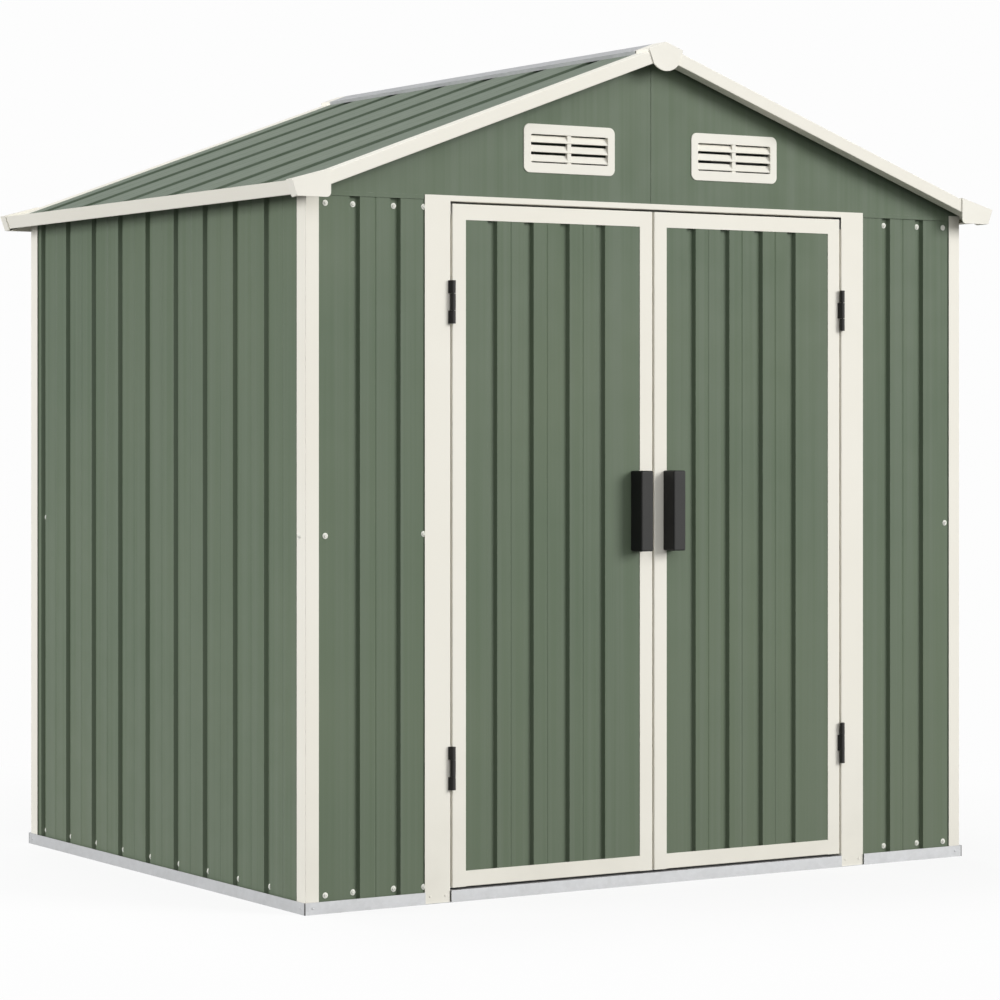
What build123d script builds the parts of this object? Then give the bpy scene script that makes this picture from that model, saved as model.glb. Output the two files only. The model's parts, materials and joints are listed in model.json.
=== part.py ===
from build123d import *
import math
import os

os.makedirs("parts", exist_ok=True)

# Plan: X runs to the right of the doors, Y to the back, Z up from the floor, origin under the middle
base_width = 1930.0
base_depth = 1520.0

# Sheet metal gauges: flat panels, and the folded posts, rails and trims with the inner radius of a fold
sheet = 1.0
trim = 1.2
fold_radius = 1.0

# Base rail, a channel that the walls and posts stand in
rail_lip = 28.0
rail_flange = 40.0
post_notch_gap = 0.6
upstand_height = 60.0

# Walls
wall_height = 1650.0
post_setback = 4.0
rib_depth = 10.0
groove_run = 4.0
crease_width = 6.0
crease_depth = 1.2
side_groove = 30.0
side_groove_count = 10
side_groove_from_front = 38.0
side_groove_from_rear = 78.0
front_groove = 27.0
front_pitch = 108.0
front_groove_from_door = 146.5
rear_groove_count = 12
rear_groove_from_end = 94.7
panel_end_gap = 6.0

# Corner posts and the rails that tie the walls together
corner_front_leg = 35.0
corner_side_leg = 41.0
top_rail_height = 46.0
top_rail_flange = 30.0
mid_rail_centre = 860.0
mid_rail_height = 30.0
mid_rail_depth = 24.0

# Doorway and door leaves
doorway_half = 575.5
door_gap = 5.0
door_post_width = 69.5
door_bottom = 33.5
door_head_drop = 21.0
door_depth = 18.0
stile_face = 37.0
stile_back = 14.0
header_face = 14.0
header_rise = 26.0
door_groove = 27.0
door_pitch = 102.0
door_groove_count = 4
door_pattern_shift = -20.0
brace_height = 40.0
brace_centre = 905.0

# Hinges
hinge_height = 101.0
hinge_above_bottom = 279.0
hinge_below_top = 229.5
knuckle_radius = 6.0
knuckle_gap = 1.0
moving_knuckle = 39.0
pin_radius = 2.5
pin_clearance = 0.05
hinge_reach = 8.0
hinge_half_width = 9.0
hinge_neck = 5.5
hinge_leaf = 2.5

# Handles
handle_width = 35.0
handle_depth = 45.0
handle_height = 194.0
handle_inner = 30.0
handle_edge = 4.0

# Roof: slope, and how far the underside of the sheets stands above the walls at the side rails
roof_rise_per_run = 0.3658
roof_seat = 16.6
roof_rib = 12.0
roof_groove = 56.0
roof_groove_run = 7.0
roof_groove_count = 6
roof_groove_from_front = 188.0
roof_groove_from_rear = 112.0
roof_overhang = 48.0
roof_length = 1078.8
roof_ridge_gap = 3.0
verge_face = 31.0
verge_top_flange = 54.0
verge_soffit = 35.0
eave_face = 34.0
eave_rise = 9.0
eave_tab = 30.0
eave_hem = 12.0

# Ridge cap and the moulded end caps
ridge_wing = 50.0
ridge_rise = 9.0
end_cap_plate = 3.0
end_cap_drop = 71.0
end_cap_half = 50.0
end_cap_foot = 36.0
end_cap_chin = 16.0
end_cap_edge = 1.2
end_cap_cover = 54.0
corner_cap_reach = 100.0
corner_cap_plate = 3.0
corner_cap_radius = 11.0
corner_cap_wrap = 26.0

# Gables and vents
gable_overlap = 13.0
gable_hem = 10.0
gable_hem_rise = 0.8
gable_lap = 6.0
gable_lap_under = 20.0
gable_flange = 25.0
gable_head_gap = 0.2
vent_centre_x = 242.5
vent_rise = 131.5
vent_width = 260.0
vent_height = 116.0
vent_radius = 16.0
vent_body_radius = 8.0
vent_opening_radius = 4.0
vent_opening_width = 220.0
vent_opening_height = 68.0
vent_flange = 2.4
vent_body_depth = 9.0
vent_body_wall = 4.0
vent_bar = 11.0
vent_slat_count = 3
vent_slat_chord = 19.0
vent_slat_thick = 1.8
vent_slat_tilt = 60.0
vent_hole_clearance = 1.0

# Roof beams
ridge_beam_width = 40.0
ridge_beam_height = 50.0
purlin_along = 540.0
purlin_width = 40.0
purlin_height = 30.0

# Values that follow from the sizes above
half_width = base_width / 2
half_depth = base_depth / 2
slope = math.atan(roof_rise_per_run)
cos_slope = math.cos(slope)
sin_slope = math.sin(slope)
post_back = post_setback + trim
gable_front_face = post_back
gable_back_face = gable_front_face + sheet
panel_setback = gable_back_face + sheet
groove_back = panel_setback + rib_depth + sheet
foot = trim
door_face = post_setback
door_back = door_face + door_depth
leaf_outer = doorway_half - door_gap
leaf_inner = door_gap / 2
leaf_width = leaf_outer - leaf_inner
door_top = wall_height - door_head_drop
header_bottom = door_top + door_gap
header_top = header_bottom + header_face
top_rail_bottom = wall_height - top_rail_height
side_rail_x = half_width - groove_back
side_rail_end = half_depth - groove_back
roof_underside = wall_height + roof_seat + side_rail_x * roof_rise_per_run
plateau_top = roof_rib + sheet
verge_top = plateau_top + trim
hinge_low = door_bottom + hinge_above_bottom
hinge_high = door_top - hinge_below_top
hinge_x = doorway_half - door_gap / 2
hinge_y = door_face - hinge_reach
panel_clear = 1.0
ridge_top = verge_top + ridge_rise - trim
eave_top = verge_top + eave_rise
eave_low = eave_top - eave_face
gable_bottom = wall_height - gable_overlap
vent_centre_z = gable_bottom + vent_rise
right_slope = Plane(
    origin=(0, 0, roof_underside), x_dir=(0, 1, 0), z_dir=(cos_slope, 0, -sin_slope),
)


def front(depth):
    """Y of a plane that lies this far behind the front face of the base rail."""
    return depth - half_depth


def roof_z(across, normal=0.0):
    """Height of the roof's right slope at this X, this far above the sheets' underside."""
    return roof_underside + normal / cos_slope - across * roof_rise_per_run


def on_slope(along, normal):
    """X and Z of a point of the right slope, from its place along and above it."""
    return (
        along * cos_slope + normal * sin_slope,
        roof_underside - along * sin_slope + normal * cos_slope,
    )


def ribbed_outline(start, end, centres, opening, depth, run, level=0.0, inward=1.0):
    """Closed outline of a ribbed sheet: grooves at the centres, a crease halfway between them."""
    middles = [(a + b) / 2 for a, b in zip(centres, centres[1:])]
    half = opening / 2
    face = [(start, 0.0)]
    for number, centre in enumerate(centres):
        face += [(centre - half, 0.0), (centre - half + run, depth)]
        face += [(centre + half - run, depth), (centre + half, 0.0)]
        if number < len(middles):
            middle = middles[number]
            face += [(middle - crease_width / 2, 0.0), (middle, crease_depth)]
            face.append((middle + crease_width / 2, 0.0))
    face.append((end, 0.0))
    back = []
    for index, (along, down) in enumerate(face):
        before = face[max(index - 1, 0)]
        after = face[min(index + 1, len(face) - 1)]
        turn_in = math.atan2(down - before[1], along - before[0]) if index else 0.0
        turn_out = math.atan2(after[1] - down, after[0] - along) if index < len(face) - 1 else 0.0
        mean = (turn_in + turn_out) / 2
        stretch = sheet / math.cos((turn_out - turn_in) / 2)
        back.append((along - stretch * math.sin(mean), down + stretch * math.cos(mean)))
    outline = face + back[::-1]
    return [(along, level + inward * down) for along, down in outline]


def evenly(first, last, count):
    """Places in a row, the same distance apart."""
    return [first + (last - first) * number / (count - 1) for number in range(count)]


def section(points):
    """Straight-sided profile in the current sketch, from its corners."""
    Polygon(*points, align=None)


def fold(outer, inner):
    """Rounds one fold of the folded strip in the current sketch, on both its faces."""
    fillet(vertices().sort_by_distance(outer)[0], fold_radius + trim)
    fillet(vertices().sort_by_distance(inner)[0], fold_radius)


# Base rail, front: a low channel under the doorway, its lip notched round the door posts
with BuildPart() as base_rail_front:
    with BuildSketch(Plane.YZ.offset(-half_width)):
        section([
            (front(0), 0), (front(rail_flange), 0), (front(rail_flange), rail_lip),
            (front(rail_flange - trim), rail_lip), (front(rail_flange - trim), trim),
            (front(trim), trim), (front(trim), rail_lip), (front(0), rail_lip),
        ])
    extrude(amount=base_width)
    for side in (-1, 1):
        corner = Plane(origin=(side * half_width, -half_depth, 0), z_dir=(side, 1, 0))
        split(bisect_by=corner, keep=Keep.BOTTOM)
        post_middle = side * (doorway_half + door_post_width / 2)
        with Locations((post_middle, front(trim / 2), (trim + rail_lip) / 2)):
            Box(door_post_width + 2 * post_notch_gap, trim, rail_lip - trim, mode=Mode.SUBTRACT)
base_rail_front.part.label = "base_rail_front"

# Base rail, rear: lip outside, tall upstand inside for the wall screws
with BuildPart() as base_rail_rear:
    with BuildSketch(Plane.YZ.offset(-half_width)):
        section([
            (-front(0), 0), (-front(rail_flange), 0), (-front(rail_flange), trim),
            (-front(groove_back + trim), trim), (-front(groove_back + trim), upstand_height),
            (-front(groove_back), upstand_height), (-front(groove_back), trim),
            (-front(trim), trim), (-front(trim), rail_lip), (-front(0), rail_lip),
        ])
    extrude(amount=base_width)
    for side in (-1, 1):
        corner = Plane(origin=(side * half_width, half_depth, 0), z_dir=(side, -1, 0))
        split(bisect_by=corner, keep=Keep.BOTTOM)
base_rail_rear.part.label = "base_rail_rear"

# Base rails, sides
with BuildPart() as base_rail_right:
    with BuildSketch(Plane.XZ.offset(-half_depth)):
        section([
            (half_width, 0), (half_width, rail_lip), (half_width - trim, rail_lip),
            (half_width - trim, trim), (half_width - groove_back, trim),
            (half_width - groove_back, upstand_height),
            (half_width - groove_back - trim, upstand_height),
            (half_width - groove_back - trim, trim), (half_width - rail_flange, trim),
            (half_width - rail_flange, 0),
        ])
    extrude(amount=base_depth)
    for end in (-1, 1):
        corner = Plane(origin=(half_width, end * half_depth, 0), z_dir=(1, -end, 0))
        split(bisect_by=corner, keep=Keep.TOP)
base_rail_right.part.label = "base_rail_right"

with BuildPart() as base_rail_left:
    mirror(base_rail_right.part, about=Plane.YZ)
base_rail_left.part.label = "base_rail_left"

# Angles on the front rail, one beside each side of the doorway, for the wall screws
with BuildPart() as front_base_angles:
    with BuildSketch(Plane.YZ.offset(doorway_half + trim + panel_clear)):
        section([
            (front(groove_back), foot), (front(rail_flange - trim), foot),
            (front(rail_flange - trim), foot + trim), (front(groove_back + trim), foot + trim),
            (front(groove_back + trim), upstand_height), (front(groove_back), upstand_height),
        ])
    extrude(amount=half_width - rail_flange - doorway_half - trim - panel_clear)
    mirror(about=Plane.YZ)
front_base_angles.part.label = "front_base_angles"

# Sill strip in the front rail, between the door posts
with BuildPart() as door_sill:
    with BuildSketch(Plane.YZ.offset(-doorway_half + panel_clear / 2)):
        section([
            (front(trim), foot), (front(2 * trim), foot), (front(2 * trim), rail_lip - trim),
            (front(rail_flange - 2 * trim), rail_lip - trim), (front(rail_flange - 2 * trim), foot),
            (front(rail_flange - trim), foot), (front(rail_flange - trim), rail_lip),
            (front(trim), rail_lip),
        ])
    extrude(amount=2 * doorway_half - panel_clear)
door_sill.part.label = "door_sill"

# Corner posts, a folded angle at each corner
with BuildPart() as corner_posts_front:
    with BuildSketch(Plane.XY.offset(foot)):
        section([
            (half_width - post_setback, front(post_setback)),
            (half_width - post_setback, front(post_setback + corner_side_leg)),
            (half_width - post_back, front(post_setback + corner_side_leg)),
            (half_width - post_back, front(post_back)),
            (half_width - post_setback - corner_front_leg, front(post_back)),
            (half_width - post_setback - corner_front_leg, front(post_setback)),
        ])
        fold((half_width - post_setback, front(post_setback)), (half_width - post_back, front(post_back)))
    extrude(amount=wall_height - foot)
    mirror(about=Plane.YZ)
corner_posts_front.part.label = "corner_posts_front"

with BuildPart() as corner_posts_rear:
    mirror(corner_posts_front.part, about=Plane.XZ)
corner_posts_rear.part.label = "corner_posts_rear"

# Roll-formed wall sheets
side_grooves = evenly(
    side_groove_from_front - half_depth, half_depth - side_groove_from_rear, side_groove_count,
)
side_end = half_depth - groove_back - panel_clear

with BuildPart() as wall_right:
    right_face = Plane(origin=(half_width - panel_setback, 0, foot), x_dir=(0, 1, 0), z_dir=(0, 0, 1))
    with BuildSketch(right_face):
        section(ribbed_outline(-side_end, side_end, side_grooves, side_groove, rib_depth, groove_run))
    extrude(amount=wall_height - foot)
wall_right.part.label = "wall_right"

with BuildPart() as wall_left:
    mirror(wall_right.part, about=Plane.YZ)
wall_left.part.label = "wall_left"

front_first_groove = doorway_half + front_groove_from_door
front_grooves = [front_first_groove, front_first_groove + front_pitch]
wall_inner_end = doorway_half + trim + panel_clear
wall_outer_end = half_width - post_back - panel_end_gap

with BuildPart() as wall_front_right:
    with BuildSketch(Plane.XY.offset(foot)):
        section(ribbed_outline(
            wall_inner_end, wall_outer_end, front_grooves, front_groove, rib_depth, groove_run,
            front(panel_setback),
        ))
    extrude(amount=wall_height - foot)
wall_front_right.part.label = "wall_front_right"

with BuildPart() as wall_front_left:
    mirror(wall_front_right.part, about=Plane.YZ)
wall_front_left.part.label = "wall_front_left"

rear_outer_groove = wall_outer_end - rear_groove_from_end
rear_grooves = evenly(-rear_outer_groove, rear_outer_groove, rear_groove_count)

with BuildPart() as wall_rear:
    with BuildSketch(Plane.XY.offset(foot)):
        section(ribbed_outline(
            -wall_outer_end, wall_outer_end, rear_grooves, side_groove, rib_depth, groove_run,
            -front(panel_setback), -1.0,
        ))
    extrude(amount=wall_height - foot)
wall_rear.part.label = "wall_rear"

# Door posts: a face strip and a jamb folded from one sheet
jamb_top = top_rail_bottom

with BuildPart() as door_post_right:
    with BuildSketch(Plane.XY.offset(foot)):
        section([
            (doorway_half, front(post_setback)), (doorway_half + door_post_width, front(post_setback)),
            (doorway_half + door_post_width, front(post_back)), (doorway_half + trim, front(post_back)),
            (doorway_half + trim, front(rail_flange - trim)), (doorway_half, front(rail_flange - trim)),
        ])
        fold((doorway_half, front(post_setback)), (doorway_half + trim, front(post_back)))
    extrude(amount=jamb_top - foot)
    with BuildSketch(Plane.XY.offset(jamb_top)):
        section([
            (doorway_half, front(post_setback)), (doorway_half + door_post_width, front(post_setback)),
            (doorway_half + door_post_width, front(post_back)), (doorway_half, front(post_back)),
        ])
    extrude(amount=header_top - jamb_top)
door_post_right.part.label = "door_post_right"

with BuildPart() as door_post_left:
    mirror(door_post_right.part, about=Plane.YZ)
door_post_left.part.label = "door_post_left"

# Header over the doors
header_back = groove_back + trim + top_rail_flange

with BuildPart() as door_header:
    with BuildSketch(Plane.YZ.offset(-doorway_half)):
        section([
            (front(post_setback), header_bottom), (front(header_back), header_bottom),
            (front(header_back), header_bottom + header_rise),
            (front(header_back - trim), header_bottom + header_rise),
            (front(header_back - trim), header_bottom + trim), (front(post_back), header_bottom + trim),
            (front(post_back), header_top), (front(post_setback), header_top),
        ])
        fold((front(post_setback), header_bottom), (front(post_back), header_bottom + trim))
    extrude(amount=2 * doorway_half)
door_header.part.label = "door_header"

# Top rails: a channel behind the head of each wall, its top flange sloped under the roof at the sides
with BuildPart() as top_rail_right:
    with BuildSketch(Plane.XZ.offset(-side_rail_end)):
        section([
            (side_rail_x, top_rail_bottom), (side_rail_x, roof_z(side_rail_x)),
            (side_rail_x - top_rail_flange, roof_z(side_rail_x - top_rail_flange)),
            (side_rail_x - top_rail_flange, roof_z(side_rail_x - top_rail_flange, -trim)),
            (side_rail_x - trim, roof_z(side_rail_x - trim, -trim)),
            (side_rail_x - trim, top_rail_bottom + trim),
            (side_rail_x - top_rail_flange, top_rail_bottom + trim),
            (side_rail_x - top_rail_flange, top_rail_bottom),
        ])
    extrude(amount=2 * side_rail_end)
top_rail_right.part.label = "top_rail_right"

with BuildPart() as top_rail_left:
    mirror(top_rail_right.part, about=Plane.YZ)
top_rail_left.part.label = "top_rail_left"

head_section = [
    (front(groove_back), top_rail_bottom), (front(groove_back), wall_height),
    (front(groove_back + top_rail_flange), wall_height),
    (front(groove_back + top_rail_flange), wall_height - trim),
    (front(groove_back + trim), wall_height - trim),
    (front(groove_back + trim), top_rail_bottom + trim),
    (front(groove_back + top_rail_flange), top_rail_bottom + trim),
    (front(groove_back + top_rail_flange), top_rail_bottom),
]
head_end = side_rail_x - top_rail_flange

with BuildPart() as top_rails_front:
    with BuildSketch(Plane.YZ.offset(doorway_half)):
        section(head_section)
    extrude(amount=head_end - doorway_half)
    mirror(about=Plane.YZ)
top_rails_front.part.label = "top_rails_front"

with BuildPart() as top_rail_rear:
    with BuildSketch(Plane.YZ.offset(-head_end)):
        section([(-y, z) for y, z in head_section])
    extrude(amount=2 * head_end)
top_rail_rear.part.label = "top_rail_rear"

# Mid rails behind the walls, at the height of the middle row of screws
mid_section = [
    (groove_back, mid_rail_centre - mid_rail_height / 2),
    (groove_back + mid_rail_depth, mid_rail_centre - mid_rail_height / 2),
    (groove_back + mid_rail_depth, mid_rail_centre - mid_rail_height / 2 + trim),
    (groove_back + trim, mid_rail_centre - mid_rail_height / 2 + trim),
    (groove_back + trim, mid_rail_centre + mid_rail_height / 2 - trim),
    (groove_back + mid_rail_depth, mid_rail_centre + mid_rail_height / 2 - trim),
    (groove_back + mid_rail_depth, mid_rail_centre + mid_rail_height / 2),
    (groove_back, mid_rail_centre + mid_rail_height / 2),
]
mid_end = half_width - groove_back - mid_rail_depth

with BuildPart() as mid_rails_side:
    with BuildSketch(Plane.XZ.offset(-side_rail_end)):
        section([(half_width - depth, z) for depth, z in mid_section])
    extrude(amount=2 * side_rail_end)
    mirror(about=Plane.YZ)
mid_rails_side.part.label = "mid_rails_side"

with BuildPart() as mid_rails_front:
    with BuildSketch(Plane.YZ.offset(doorway_half + trim)):
        section([(front(depth), z) for depth, z in mid_section])
    extrude(amount=mid_end - doorway_half - trim)
    mirror(about=Plane.YZ)
mid_rails_front.part.label = "mid_rails_front"

with BuildPart() as mid_rail_rear:
    with BuildSketch(Plane.YZ.offset(-mid_end)):
        section([(-front(depth), z) for depth, z in mid_section])
    extrude(amount=2 * mid_end)
mid_rail_rear.part.label = "mid_rail_rear"


def gable_half(inner, outer, face_depth):
    """Right half of a gable: a flat sheet with a hem below, a sloped flange above and a vent hole."""
    with BuildSketch(Plane.XZ.offset(-front(face_depth))) as flat:
        section([
            (inner, gable_bottom), (outer, gable_bottom), (outer, roof_z(outer, -gable_head_gap)),
            (0, roof_z(0, -gable_head_gap)), (inner, roof_z(-inner, -gable_head_gap)),
        ])
        with Locations((vent_centre_x, vent_centre_z)):
            RectangleRounded(
                vent_opening_width + 2 * (vent_body_wall + vent_hole_clearance),
                vent_opening_height + 2 * (vent_body_wall + vent_hole_clearance),
                vent_body_radius, mode=Mode.SUBTRACT,
            )
    extrude(flat.sketch, amount=-sheet)
    hem_start = doorway_half + door_post_width + panel_clear
    hem_end = half_width - post_setback - corner_front_leg - panel_clear
    with BuildSketch(Plane.XZ.offset(-front(face_depth))) as hem:
        with Locations(((hem_start + hem_end) / 2, gable_bottom + gable_hem / 2)):
            Rectangle(hem_end - hem_start, gable_hem)
    extrude(hem.sketch, amount=gable_hem_rise)
    flange_start = gable_lap_under + panel_clear
    with BuildSketch(right_slope.offset(flange_start)) as flange:
        section([
            (front(face_depth + sheet), -gable_head_gap),
            (front(face_depth - gable_flange), -gable_head_gap),
            (front(face_depth - gable_flange), -gable_head_gap - sheet),
            (front(face_depth + sheet), -gable_head_gap - sheet),
        ])
    extrude(flange.sketch, amount=(outer - panel_clear) / cos_slope - flange_start)


# Gables: two stamped halves each, the right one lapped over the left one at the middle
gable_outer = half_width - post_back - panel_end_gap

with BuildPart() as gable_front_right:
    gable_half(-gable_lap, gable_outer, gable_front_face)
gable_front_right.part.label = "gable_front_right"

with BuildPart() as gable_left_mould:
    gable_half(-gable_lap_under, gable_outer, gable_back_face)

with BuildPart() as gable_front_left:
    mirror(gable_left_mould.part, about=Plane.YZ)
gable_front_left.part.label = "gable_front_left"

with BuildPart() as gable_rear_right:
    mirror(gable_left_mould.part, about=Plane.XZ)
gable_rear_right.part.label = "gable_rear_right"

with BuildPart() as gable_front_swapped:
    mirror(gable_front_right.part, about=Plane.YZ)

with BuildPart() as gable_rear_left:
    mirror(gable_front_swapped.part, about=Plane.XZ)
gable_rear_left.part.label = "gable_rear_left"

# Louvred vents: a flanged frame with a middle bar and tilted slats
slat_pitch = vent_opening_height / vent_slat_count

with BuildPart() as vent_right:
    with BuildSketch(Plane.XZ.offset(-front(gable_front_face))):
        with Locations((vent_centre_x, vent_centre_z)):
            RectangleRounded(vent_width, vent_height, vent_radius)
            RectangleRounded(
                vent_opening_width, vent_opening_height, vent_opening_radius, mode=Mode.SUBTRACT,
            )
    extrude(amount=vent_flange)
    rim = vent_right.faces().sort_by(Axis.Y)[0]
    fillet(rim.outer_wire().edges(), vent_flange / 2)
    with BuildSketch(Plane.XZ.offset(-front(gable_front_face))):
        with Locations((vent_centre_x, vent_centre_z)):
            RectangleRounded(
                vent_opening_width + 2 * vent_body_wall, vent_opening_height + 2 * vent_body_wall,
                vent_body_radius,
            )
            RectangleRounded(
                vent_opening_width, vent_opening_height, vent_opening_radius, mode=Mode.SUBTRACT,
            )
            Rectangle(vent_bar, vent_opening_height + vent_body_wall)
    extrude(amount=-vent_body_depth)
    with BuildSketch(Plane.YZ.offset(vent_centre_x - vent_opening_width / 2 - vent_body_wall / 2)):
        slat_reach = (vent_opening_height - slat_pitch) / 2
        slat_rows = evenly(vent_centre_z - slat_reach, vent_centre_z + slat_reach, vent_slat_count)
        slat_middle = front(gable_front_face + vent_body_depth / 2 - vent_flange / 2)
        for row in slat_rows:
            with Locations(Location((slat_middle, row, 0), (0, 0, vent_slat_tilt))):
                Rectangle(vent_slat_chord, vent_slat_thick)
    extrude(amount=vent_opening_width + vent_body_wall)
vent_right.part.label = "vent_right"

with BuildPart() as vents_front:
    add(vent_right.part)
    with Locations((0, sheet, 0)):
        add(mirror(vent_right.part, about=Plane.YZ, mode=Mode.PRIVATE))
vents_front.part.label = "vents_front"

with BuildPart() as vents_rear:
    add(vents_front.part.rotate(Axis.Z, 180))
vents_rear.part.label = "vents_rear"

# Ribbed roof sheets
roof_end = half_depth + roof_overhang - trim
sheet_end = roof_end - fold_radius
roof_grooves = evenly(
    roof_groove_from_front - half_depth, half_depth - roof_groove_from_rear, roof_groove_count,
)

with BuildPart() as roof_panel_right:
    with BuildSketch(right_slope.offset(roof_ridge_gap)):
        section(ribbed_outline(
            -sheet_end, sheet_end, roof_grooves, roof_groove, roof_rib, roof_groove_run,
            plateau_top, -1.0,
        ))
    extrude(amount=roof_length - trim - roof_ridge_gap)
roof_panel_right.part.label = "roof_panel_right"

with BuildPart() as roof_panel_left:
    mirror(roof_panel_right.part, about=Plane.YZ)
roof_panel_left.part.label = "roof_panel_left"

# Verge trims along the sloped edges of the roof
verge_start = end_cap_half / 2

with BuildPart() as verge_trims_front:
    with BuildSketch(right_slope.offset(verge_start)):
        section([
            (front(-roof_overhang), verge_top), (front(-roof_overhang), verge_top - verge_face),
            (front(-roof_overhang + verge_soffit), verge_top - verge_face),
            (front(-roof_overhang + verge_soffit), verge_top - verge_face + trim),
            (front(-roof_overhang + trim), verge_top - verge_face + trim),
            (front(-roof_overhang + trim), plateau_top),
            (front(-roof_overhang + verge_top_flange), plateau_top),
            (front(-roof_overhang + verge_top_flange), verge_top),
        ])
        fold((front(-roof_overhang), verge_top), (front(-roof_overhang + trim), plateau_top))
        fold(
            (front(-roof_overhang), verge_top - verge_face),
            (front(-roof_overhang + trim), verge_top - verge_face + trim),
        )
    extrude(amount=roof_length - 2 * trim - verge_start)
    mirror(about=Plane.YZ)
verge_trims_front.part.label = "verge_trims_front"

with BuildPart() as verge_trims_rear:
    mirror(verge_trims_front.part, about=Plane.XZ)
verge_trims_rear.part.label = "verge_trims_rear"

# Eave trims: a fascia that closes the ends of the ribs, hemmed below
with BuildPart() as eave_trim_right:
    with BuildSketch(Plane.XZ.offset(-roof_end)):
        section([
            on_slope(roof_length, eave_top), on_slope(roof_length, eave_low),
            on_slope(roof_length - eave_hem, eave_low),
            on_slope(roof_length - eave_hem, eave_low + trim),
            on_slope(roof_length - trim, eave_low + trim),
            on_slope(roof_length - trim, -trim), on_slope(roof_length - eave_tab, -trim),
            on_slope(roof_length - eave_tab, 0), on_slope(roof_length - trim, 0),
            on_slope(roof_length - trim, eave_top),
        ])
        fold(on_slope(roof_length, eave_low), on_slope(roof_length - trim, eave_low + trim))
    extrude(amount=2 * roof_end)
eave_trim_right.part.label = "eave_trim_right"

with BuildPart() as eave_trim_left:
    mirror(eave_trim_right.part, about=Plane.YZ)
eave_trim_left.part.label = "eave_trim_left"

# Ridge cap: two wings on turned-down edges that rest on the ribs
ridge_end = half_depth + roof_overhang - verge_top_flange

with BuildPart() as ridge_cap:
    with BuildSketch(Plane.XZ.offset(-ridge_end)):
        apex = (0, roof_z(0, ridge_top))
        under = (0, roof_z(0, ridge_top - trim))
        wing = [
            on_slope(ridge_wing, ridge_top), on_slope(ridge_wing, plateau_top),
            on_slope(ridge_wing - trim, plateau_top), on_slope(ridge_wing - trim, ridge_top - trim),
        ]
        section([apex, *wing, under, *[(-x, z) for x, z in wing[::-1]]])
    extrude(amount=2 * ridge_end)
ridge_cap.part.label = "ridge_cap"

# End caps of the ridge: a rounded face and a short roof-shaped cover behind it
with BuildPart() as end_cap:
    apex_z = roof_z(0, ridge_top)
    cap_face = front(-roof_overhang - end_cap_plate)
    with BuildSketch(Plane.XZ.offset(-cap_face)):
        with BuildLine():
            shoulder = (end_cap_half, apex_z - end_cap_half * roof_rise_per_run)
            heel = (end_cap_foot, apex_z - end_cap_drop + end_cap_chin)
            Polyline((0, apex_z), shoulder, heel)
            ThreePointArc(heel, (0, apex_z - end_cap_drop), (-heel[0], heel[1]))
            Polyline((-heel[0], heel[1]), (-shoulder[0], shoulder[1]), (0, apex_z))
        make_face()
    extrude(amount=-end_cap_plate)
    fillet(end_cap.faces().sort_by(Axis.Y)[0].edges(), end_cap_edge)
    with BuildSketch(Plane.XZ.offset(-cap_face - end_cap_plate)):
        under_z = roof_z(0, ridge_top - 2 * trim)
        inner = end_cap_half - 2 * trim
        section([
            (0, apex_z), shoulder, (shoulder[0], roof_z(shoulder[0], verge_top)),
            (inner, roof_z(inner, verge_top)), (inner, roof_z(inner, ridge_top - 2 * trim)),
            (0, under_z), (-inner, roof_z(inner, ridge_top - 2 * trim)),
            (-inner, roof_z(inner, verge_top)), (-shoulder[0], roof_z(shoulder[0], verge_top)),
            (-shoulder[0], shoulder[1]),
        ])
    extrude(amount=-end_cap_cover)

with BuildPart() as ridge_end_caps:
    add(end_cap.part)
    mirror(about=Plane.XZ)
ridge_end_caps.part.label = "ridge_end_caps"

# Corner caps at the eaves: a moulded face over the verge trim and a return along the fascia
tip_top = on_slope(roof_length + corner_cap_plate, eave_top + corner_cap_plate)
tip_low = on_slope(roof_length + corner_cap_plate, eave_low - corner_cap_plate)
cap_inner = tip_top[0] - corner_cap_reach

with BuildPart() as corner_cap:
    with BuildSketch(Plane.XZ.offset(-front(-roof_overhang - corner_cap_plate))):
        section([
            (cap_inner, roof_z(cap_inner, verge_top + corner_cap_plate)), tip_top, tip_low,
            (cap_inner, tip_low[1]),
        ])
        fillet(vertices().sort_by(Axis.Y)[:2].sort_by(Axis.X)[0], corner_cap_radius)
    extrude(amount=-corner_cap_plate)
    with BuildSketch(Plane.XZ.offset(-front(-roof_overhang))):
        section([
            (cap_inner, roof_z(cap_inner, verge_top + corner_cap_plate)), tip_top, tip_low,
            on_slope(roof_length, eave_low - corner_cap_plate), on_slope(roof_length, eave_top),
            on_slope(roof_length - trim, eave_top), on_slope(roof_length - trim, verge_top),
            (cap_inner, roof_z(cap_inner, verge_top)),
        ])
    extrude(amount=-corner_cap_wrap)

with BuildPart() as corner_caps:
    add(corner_cap.part)
    mirror(about=Plane.YZ)
    mirror(about=Plane.XZ)
corner_caps.part.label = "corner_caps"

# Ridge beam and purlins between the gables
beam_end = half_depth - panel_setback
beam_top = roof_z(ridge_beam_width / 2)

with BuildPart() as ridge_beam:
    with BuildSketch(Plane.XZ.offset(-beam_end)):
        half = ridge_beam_width / 2
        section([
            (-half, beam_top), (half, beam_top), (half, beam_top - ridge_beam_height),
            (half - trim, beam_top - ridge_beam_height), (half - trim, beam_top - trim),
            (-half + trim, beam_top - trim), (-half + trim, beam_top - ridge_beam_height),
            (-half, beam_top - ridge_beam_height),
        ])
    extrude(amount=2 * beam_end)
ridge_beam.part.label = "ridge_beam"

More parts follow.
